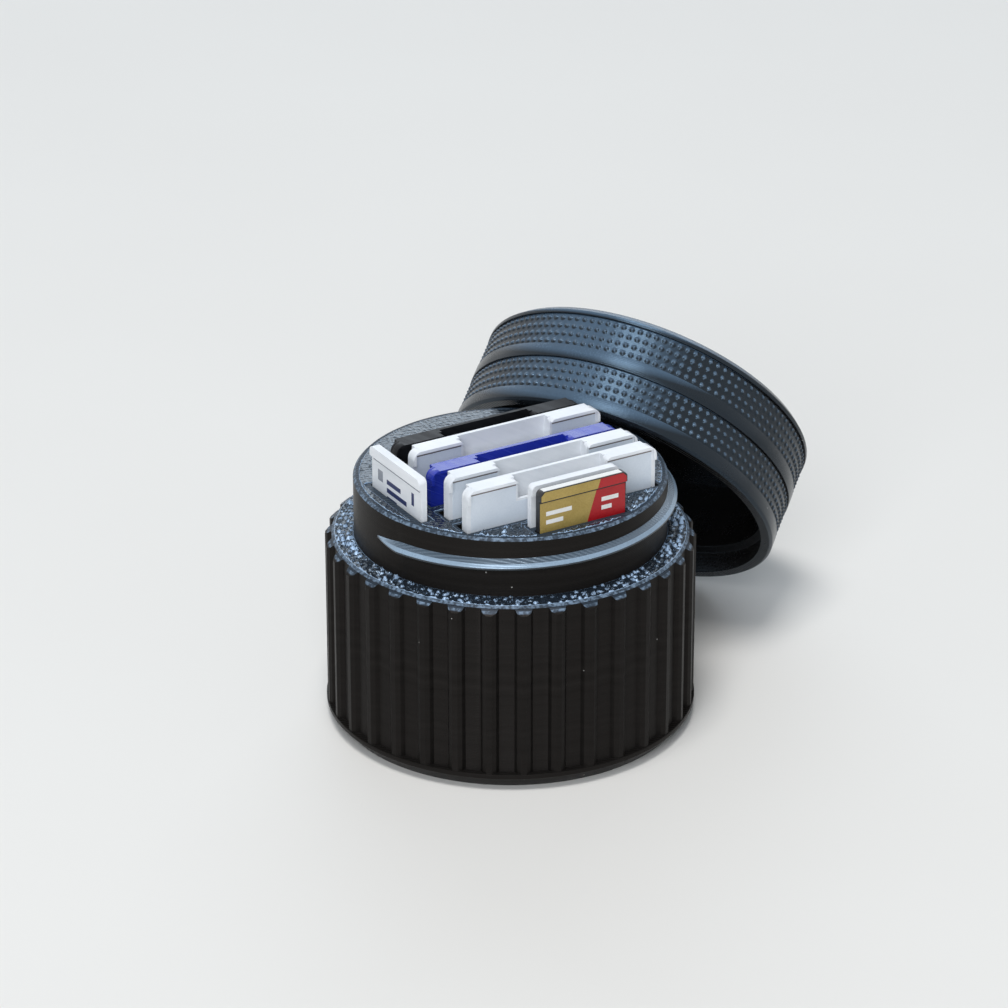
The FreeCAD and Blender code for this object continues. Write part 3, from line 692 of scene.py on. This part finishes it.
def top_grain(material, radius, level_z):
    """Rough skin on the top face of the neck, open over the slots and rougher towards the front."""
    count = int(radius / TOP_CELL)
    boxes = slot_boxes()

    def open_at(x, y):
        if math.hypot(x, y) > radius:
            return True
        for low, high in boxes:
            beside_x = low.x - SLOT_MARGIN < x < high.x + SLOT_MARGIN
            if beside_x and low.y - SLOT_MARGIN < y < high.y + SLOT_MARGIN:
                return True
        return False

    work = bmesh.new()
    corners = {}
    for column in range(-count, count + 1):
        for row in range(-count, count + 1):
            x = column * TOP_CELL
            y = row * TOP_CELL
            if not open_at(x, y):
                front = TOP_BACK_SHARE + (1 - TOP_BACK_SHARE) * max(0.0, -y / radius)
                rise = rough_height(Vector((x, y, 0)), TOP_ROUGHNESS * front)
                corners[column, row] = work.verts.new((x, y, level_z + GRAIN_LIFT + rise))
    for column, row in corners:
        cell = [(column, row), (column + 1, row), (column + 1, row + 1), (column, row + 1)]
        if all(key in corners for key in cell):
            work.faces.new([corners[key] for key in cell])
    loose = [vertex for vertex in work.verts if not vertex.link_faces]
    bmesh.ops.delete(work, geom=loose, context="VERTS")
    grown = bmesh.ops.extrude_face_region(work, geom=work.faces[:], use_keep_orig=True)
    for item in grown["geom"]:
        if isinstance(item, bmesh.types.BMVert):
            item.co.z = level_z - GRAIN_SKIRT
    return add_mesh("top_grain", work, material, "case")


def flat_plate(name, outline, place, right, out, rise, material, body):
    """Thin plate from an outline of sideways and upward distances, half sunk into a face."""
    work = bmesh.new()
    loops = []
    for lift in (-rise, rise):
        points = [place + right * x + UP * z + out * lift for x, z in outline]
        loops.append([work.verts.new(point) for point in points])
    work.faces.new(loops[1])
    work.faces.new(loops[0][::-1])
    join_loops(work, loops)
    return add_mesh(name, work, material, body, smooth=False)


def bar(x, z, width, height):
    """Outline of an upright rectangle."""
    return [(x, z), (x + width, z), (x + width, z + height), (x, z + height)]


def blank_label(name, film, line):
    """Blank label film around the finger notch, in a darker, bluer tone of painted shade, with a thin dark
    strip of painted shade along its top edge.
    """
    low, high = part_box(name + "_front_shell")
    place = Vector(((low.x + high.x) / 2, low.y + PANEL_DEPTH, high.z))
    outline = [
        (-BLANK_HALF_WIDTH, -BLANK_FOOT),
        (BLANK_HALF_WIDTH, -BLANK_FOOT),
        (BLANK_HALF_WIDTH, -BLANK_TOP),
        (NOTCH_HALF_WIDTH, -BLANK_TOP),
        (NOTCH_HALF_WIDTH, -NOTCH_FOOT),
        (-NOTCH_HALF_WIDTH, -NOTCH_FOOT),
        (-NOTCH_HALF_WIDTH, -BLANK_TOP),
        (-BLANK_HALF_WIDTH, -BLANK_TOP),
    ]
    flat_plate(name + "_label", outline, place, RIGHT, FRONT, LABEL_RISE, film, name)
    width = BLANK_HALF_WIDTH - NOTCH_HALF_WIDTH
    for side, x in (("left", -BLANK_HALF_WIDTH), ("right", NOTCH_HALF_WIDTH)):
        strip = bar(x, -BLANK_TOP, width, BLANK_SHADE_LINE)
        flat_plate(f"{name}_line_{side}", strip, place, RIGHT, FRONT, LABEL_RISE, line, name)


def painted_highlight_strip(place, width, depth, material):
    """Pale strip along the top edge of the gold card: a painted highlight."""
    work = bmesh.new()
    bmesh.ops.create_cube(work, size=1.0)
    scale = Matrix.Diagonal((width, depth, 2 * LABEL_RISE, 1.0))
    middle = place + Vector((width / 2, depth / 2, 0))
    bmesh.ops.transform(work, matrix=Matrix.Translation(middle) @ scale, verts=work.verts)
    add_mesh("painted_highlight_top_edge", work, material, "micro_gold", smooth=False)


def gold_label(inks):
    """Gold and red label with a slanted split and plain bars, on the lip and on the face below it."""
    low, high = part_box("micro_gold_body")
    width = high.x - low.x - 2 * LABEL_EDGE
    height = high.z - low.z - LIP_LENGTH - 2 * LABEL_EDGE
    face = Vector((low.x + LABEL_EDGE, low.y + LIP_RISE, high.z - LIP_LENGTH - LIP_SHADE))
    lip = Vector((low.x + LABEL_EDGE, low.y, high.z - LIP_LENGTH))
    lip_height = LIP_LENGTH - LABEL_EDGE
    split = SPLIT_SHARE * width
    split_foot = split - SPLIT_LEAN_SHARE * height
    split_top = split + SPLIT_LEAN_SHARE * lip_height
    gold_lip = [(0, 0), (split, 0), (split_top, lip_height), (CORNER, lip_height), (0, lip_height - CORNER)]
    red_lip = [(split, 0), (width, 0), (width, lip_height - CORNER), (width - CORNER, lip_height),
               (split_top, lip_height)]
    gold_face = [(0, -height), (split_foot, -height), (split, 0), (0, 0)]
    red_face = [(split_foot, -height), (width, -height), (width, 0), (split, 0)]
    panels = [
        ("label_gold_lip", lip, gold_lip, "gold"),
        ("label_red_lip", lip, red_lip, "red"),
        ("label_gold_face", face, gold_face, "gold"),
        ("label_red_face", face, red_face, "red"),
    ]
    for name, place, outline, ink in panels:
        flat_plate(name, outline, place, RIGHT, FRONT, LABEL_RISE, inks[ink], "micro_gold")
    # Pale strip on the card's top edge: painted highlight
    edge = Vector((low.x + CORNER, low.y + LABEL_EDGE, high.z))
    depth = high.y - low.y - 2 * LABEL_EDGE
    painted_highlight_strip(edge, width - 2 * CORNER, depth, inks["white"])
    film_front = face + FRONT * LABEL_RISE
    for index, (left_share, foot, width_share, tall) in enumerate(GOLD_BARS):
        outline = bar(left_share * width, foot, width_share * width, tall)
        flat_plate(f"label_bar_{index}", outline, film_front, RIGHT, FRONT, BAR_RISE,
                   inks["white"], "micro_gold")


def side_label(inks):
    """Plain navy and grey bars on the white card beside the others, which faces left; its thin grey bar
    under the lip is painted shade.
    """
    low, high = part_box("micro_side_body")
    place = Vector((low.x + LIP_RISE, high.y, high.z - LIP_LENGTH))
    width = high.y - low.y
    for index, (left_share, foot, width_share, tall, ink) in enumerate(SIDE_BARS):
        outline = bar(left_share * width, foot, width_share * width, tall)
        flat_plate(f"side_bar_{index}", outline, place, FRONT, LEFT, BAR_RISE,
                   inks[ink], "micro_side")


def dress_case(lid):
    """Printed plastic on the base and the lid, with studs, rough grain and the bead over the thread."""
    nodes = frame["nodes"]
    base_across = Vector((math.cos(STRAND_SLANT), math.sin(STRAND_SLANT), 0))
    lid_across = lid.level * math.cos(STRAND_SLANT) + lid.slope * math.sin(STRAND_SLANT)
    steepest = math.sqrt(1 - lid.axis.z ** 2)
    topside_sheen = (TOPSIDE_SHEEN_SHARE * steepest, steepest, *NO_END)
    stud_highlight_tips = [lid.radius - share * KNURL_DEPTH for share in TIP_HIGHLIGHT_SHARES]
    base_plastic = print_plastic("base_plastic", BASE_FINISH, UP, base_across, SLOPES,
                                 pale_from=PALE_HEIGHT, gap_size=GAP_SIZE)
    lid_plastic = print_plastic("lid_plastic", LID_FINISH, lid.axis, lid_across, topside_sheen, core=lid.centre)
    stud_plastic = print_plastic("stud_plastic", LID_FINISH, lid.axis, lid_across, topside_sheen,
                                 core=lid.centre, highlight_tips=stud_highlight_tips)
    grain_plastic = print_plastic("rough_plastic", GRAIN_FINISH, UP, base_across, GLINTS)
    ridge_plastic = print_plastic("ridge_plastic", RIDGE_FINISH, UP, base_across, SLOPES)
    dress(nodes["case_base"], base_plastic)
    soft_edges(nodes["case_base"], BASE_EDGE, sharpest=PRINT_SHARPEST)
    dress(nodes["lid"], lid_plastic)
    soft_edges(nodes["lid"], LID_EDGE, sharpest=PRINT_SHARPEST)

    mouth_foot = lid.height * RIM_STRIP_SHARE
    mouth_top = mouth_foot + lid.height * KNURL_BAND_SHARE
    crown_foot = mouth_top + lid.height * MIDDLE_STRIP_SHARE
    crown_top = crown_foot + lid.height * KNURL_BAND_SHARE
    knurl_sleeve("knurl_mouth_band", lid, mouth_foot, mouth_top, stud_plastic)
    knurl_sleeve("knurl_crown_band", lid, crown_foot, crown_top, stud_plastic)

    top_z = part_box("case_base")[1].z
    corners = [vertex.co for vertex in nodes["case_base"].data.vertices if vertex.co.z > top_z - TOUCH]
    neck_radius = max(math.hypot(corner.x, corner.y) for corner in corners) + NECK_EDGE
    # The shoulder is as wide as the lid that seats on it.
    shoulder_z = top_z - NECK_HEIGHT
    shoulder_grain(grain_plastic, neck_radius + NECK_CLEARANCE, lid.radius - SHOULDER_EDGE, shoulder_z)
    thread_bead(ridge_plastic, neck_radius, top_z)
    top_grain(grain_plastic, neck_radius - 2 * NECK_EDGE, top_z)


def dress_cards():
    """Moulded plastic and plated contacts on the cards."""
    nodes = frame["nodes"]
    plastics = {key: moulded_plastic(*values) for key, values in CARD_PLASTICS.items()}
    gold = plated_metal()
    for name, plastic in SD_CARDS.items():
        for half in ("_front_shell", "_back_shell"):
            dress(nodes[name + half], plastics[plastic])
            soft_edges(nodes[name + half], CARD_EDGE)
        dress(nodes[name + "_contacts"], gold)
        dress(nodes[name + "_lock"], plastics["lock"])
        soft_edges(nodes[name + "_lock"], LOCK_EDGE)
    for name, plastic in MICRO_CARDS.items():
        dress(nodes[name + "_body"], plastics[plastic])
        soft_edges(nodes[name + "_body"], MICRO_EDGE)
        dress(nodes[name + "_contacts"], gold)


def add_labels():
    """Label films in a tone of painted shade, dark strips of painted shade, a painted highlight strip and
    bars on the cards.
    """
    inks = {key: printed_ink(*values) for key, values in INKS.items()}
    gold_label(inks)
    side_label(inks)
    for name, plastic in SD_CARDS.items():
        if plastic == "white":
            blank_label(name, inks["film"], inks["line"])


def toward(azimuth, elevation):
    """Direction from the case to a bearing from its front and an elevation, both in radians."""
    level = math.cos(elevation)
    return Vector((math.sin(azimuth) * level, -math.cos(azimuth) * level, math.sin(elevation)))


def add_area(name, azimuth, elevation, distance, width, height, power, colour):
    """Rectangular light that looks at the case."""
    light = bpy.data.lights.new(name, "AREA")
    light.shape = "RECTANGLE"
    light.size = width
    light.size_y = height
    light.energy = power
    light.color = colour
    place = CAMERA_TARGET + toward(math.radians(azimuth), math.radians(elevation)) * distance
    lamp = bpy.data.objects.new(name, light)
    lamp.location = place
    lamp.rotation_euler = (CAMERA_TARGET - place).to_track_quat("-Z", "Y").to_euler()
    bpy.context.scene.collection.objects.link(lamp)


def add_light():
    """Cool soft light from behind, overhead and the front, and a white surround for what reflects it."""
    for name, settings in LIGHTS.items():
        add_area(name, **settings)
    world = bpy.data.worlds.new("studio")
    world.use_nodes = True
    nodes = world.node_tree.nodes
    links = world.node_tree.links
    nodes["Background"].inputs["Color"].default_value = SURROUND_COLOUR
    nodes["Background"].inputs["Strength"].default_value = SURROUND_STRENGTH
    seen = nodes.new("ShaderNodeBackground")
    seen.inputs["Color"].default_value = SEEN_COLOUR
    path = nodes.new("ShaderNodeLightPath")
    mix = nodes.new("ShaderNodeMixShader")
    direct = path.outputs["Is Camera Ray"]
    for ray in ("Is Glossy Ray", "Is Transmission Ray"):
        either = nodes.new("ShaderNodeMath")
        either.operation = "MAXIMUM"
        links.new(direct, either.inputs[0])
        links.new(path.outputs[ray], either.inputs[1])
        direct = either.outputs[0]
    links.new(direct, mix.inputs[0])
    links.new(nodes["Background"].outputs[0], mix.inputs[1])
    links.new(seen.outputs[0], mix.inputs[2])
    links.new(mix.outputs[0], nodes["World Output"].inputs["Surface"])
    bpy.context.scene.world = world


def add_floor():
    """Plain pale floor, which isn't part of the object."""
    work = bmesh.new()
    corners = ((-1, -1), (1, -1), (1, 1), (-1, 1))
    work.faces.new([work.verts.new((x * FLOOR_HALF, y * FLOOR_HALF, 0)) for x, y in corners])
    mesh = bpy.data.meshes.new("floor")
    work.to_mesh(mesh)
    work.free()
    floor = bpy.data.objects.new("floor", mesh)
    bpy.context.scene.collection.objects.link(floor)
    shader = Shader("pale_floor")
    cloud = shader.noise(FLOOR_CLOUD, detail=3.0)
    dress(floor, shader.finish(Base_Color=shader.tint(cloud, *FLOOR_TONES), Roughness=FLOOR_ROUGHNESS))


def add_camera():
    """Camera at the photograph's place."""
    camera = bpy.data.cameras.new("camera")
    camera.sensor_width = SENSOR
    camera.lens = FOCAL_PIXELS * SENSOR / IMAGE_PIXELS
    camera.clip_start = NEAREST_SEEN
    seat = bpy.data.objects.new("camera", camera)
    back = toward(CAMERA_AZIMUTH, CAMERA_ELEVATION)
    aim = (-back).to_track_quat("-Z", "Y").to_matrix().to_4x4()
    place = Matrix.Translation(CAMERA_TARGET + back * CAMERA_DISTANCE)
    seat.matrix_world = place @ aim @ Matrix.Rotation(CAMERA_ROLL, 4, "Z")
    bpy.context.scene.collection.objects.link(seat)
    bpy.context.scene.camera = seat


def main():
    """Dress every piece, then set up the floor, the light and the camera."""
    dress_case(lid_frame())
    dress_cards()
    add_labels()
    add_floor()
    add_light()
    add_camera()
    bpy.context.scene.view_settings.view_transform = "Standard"


main()
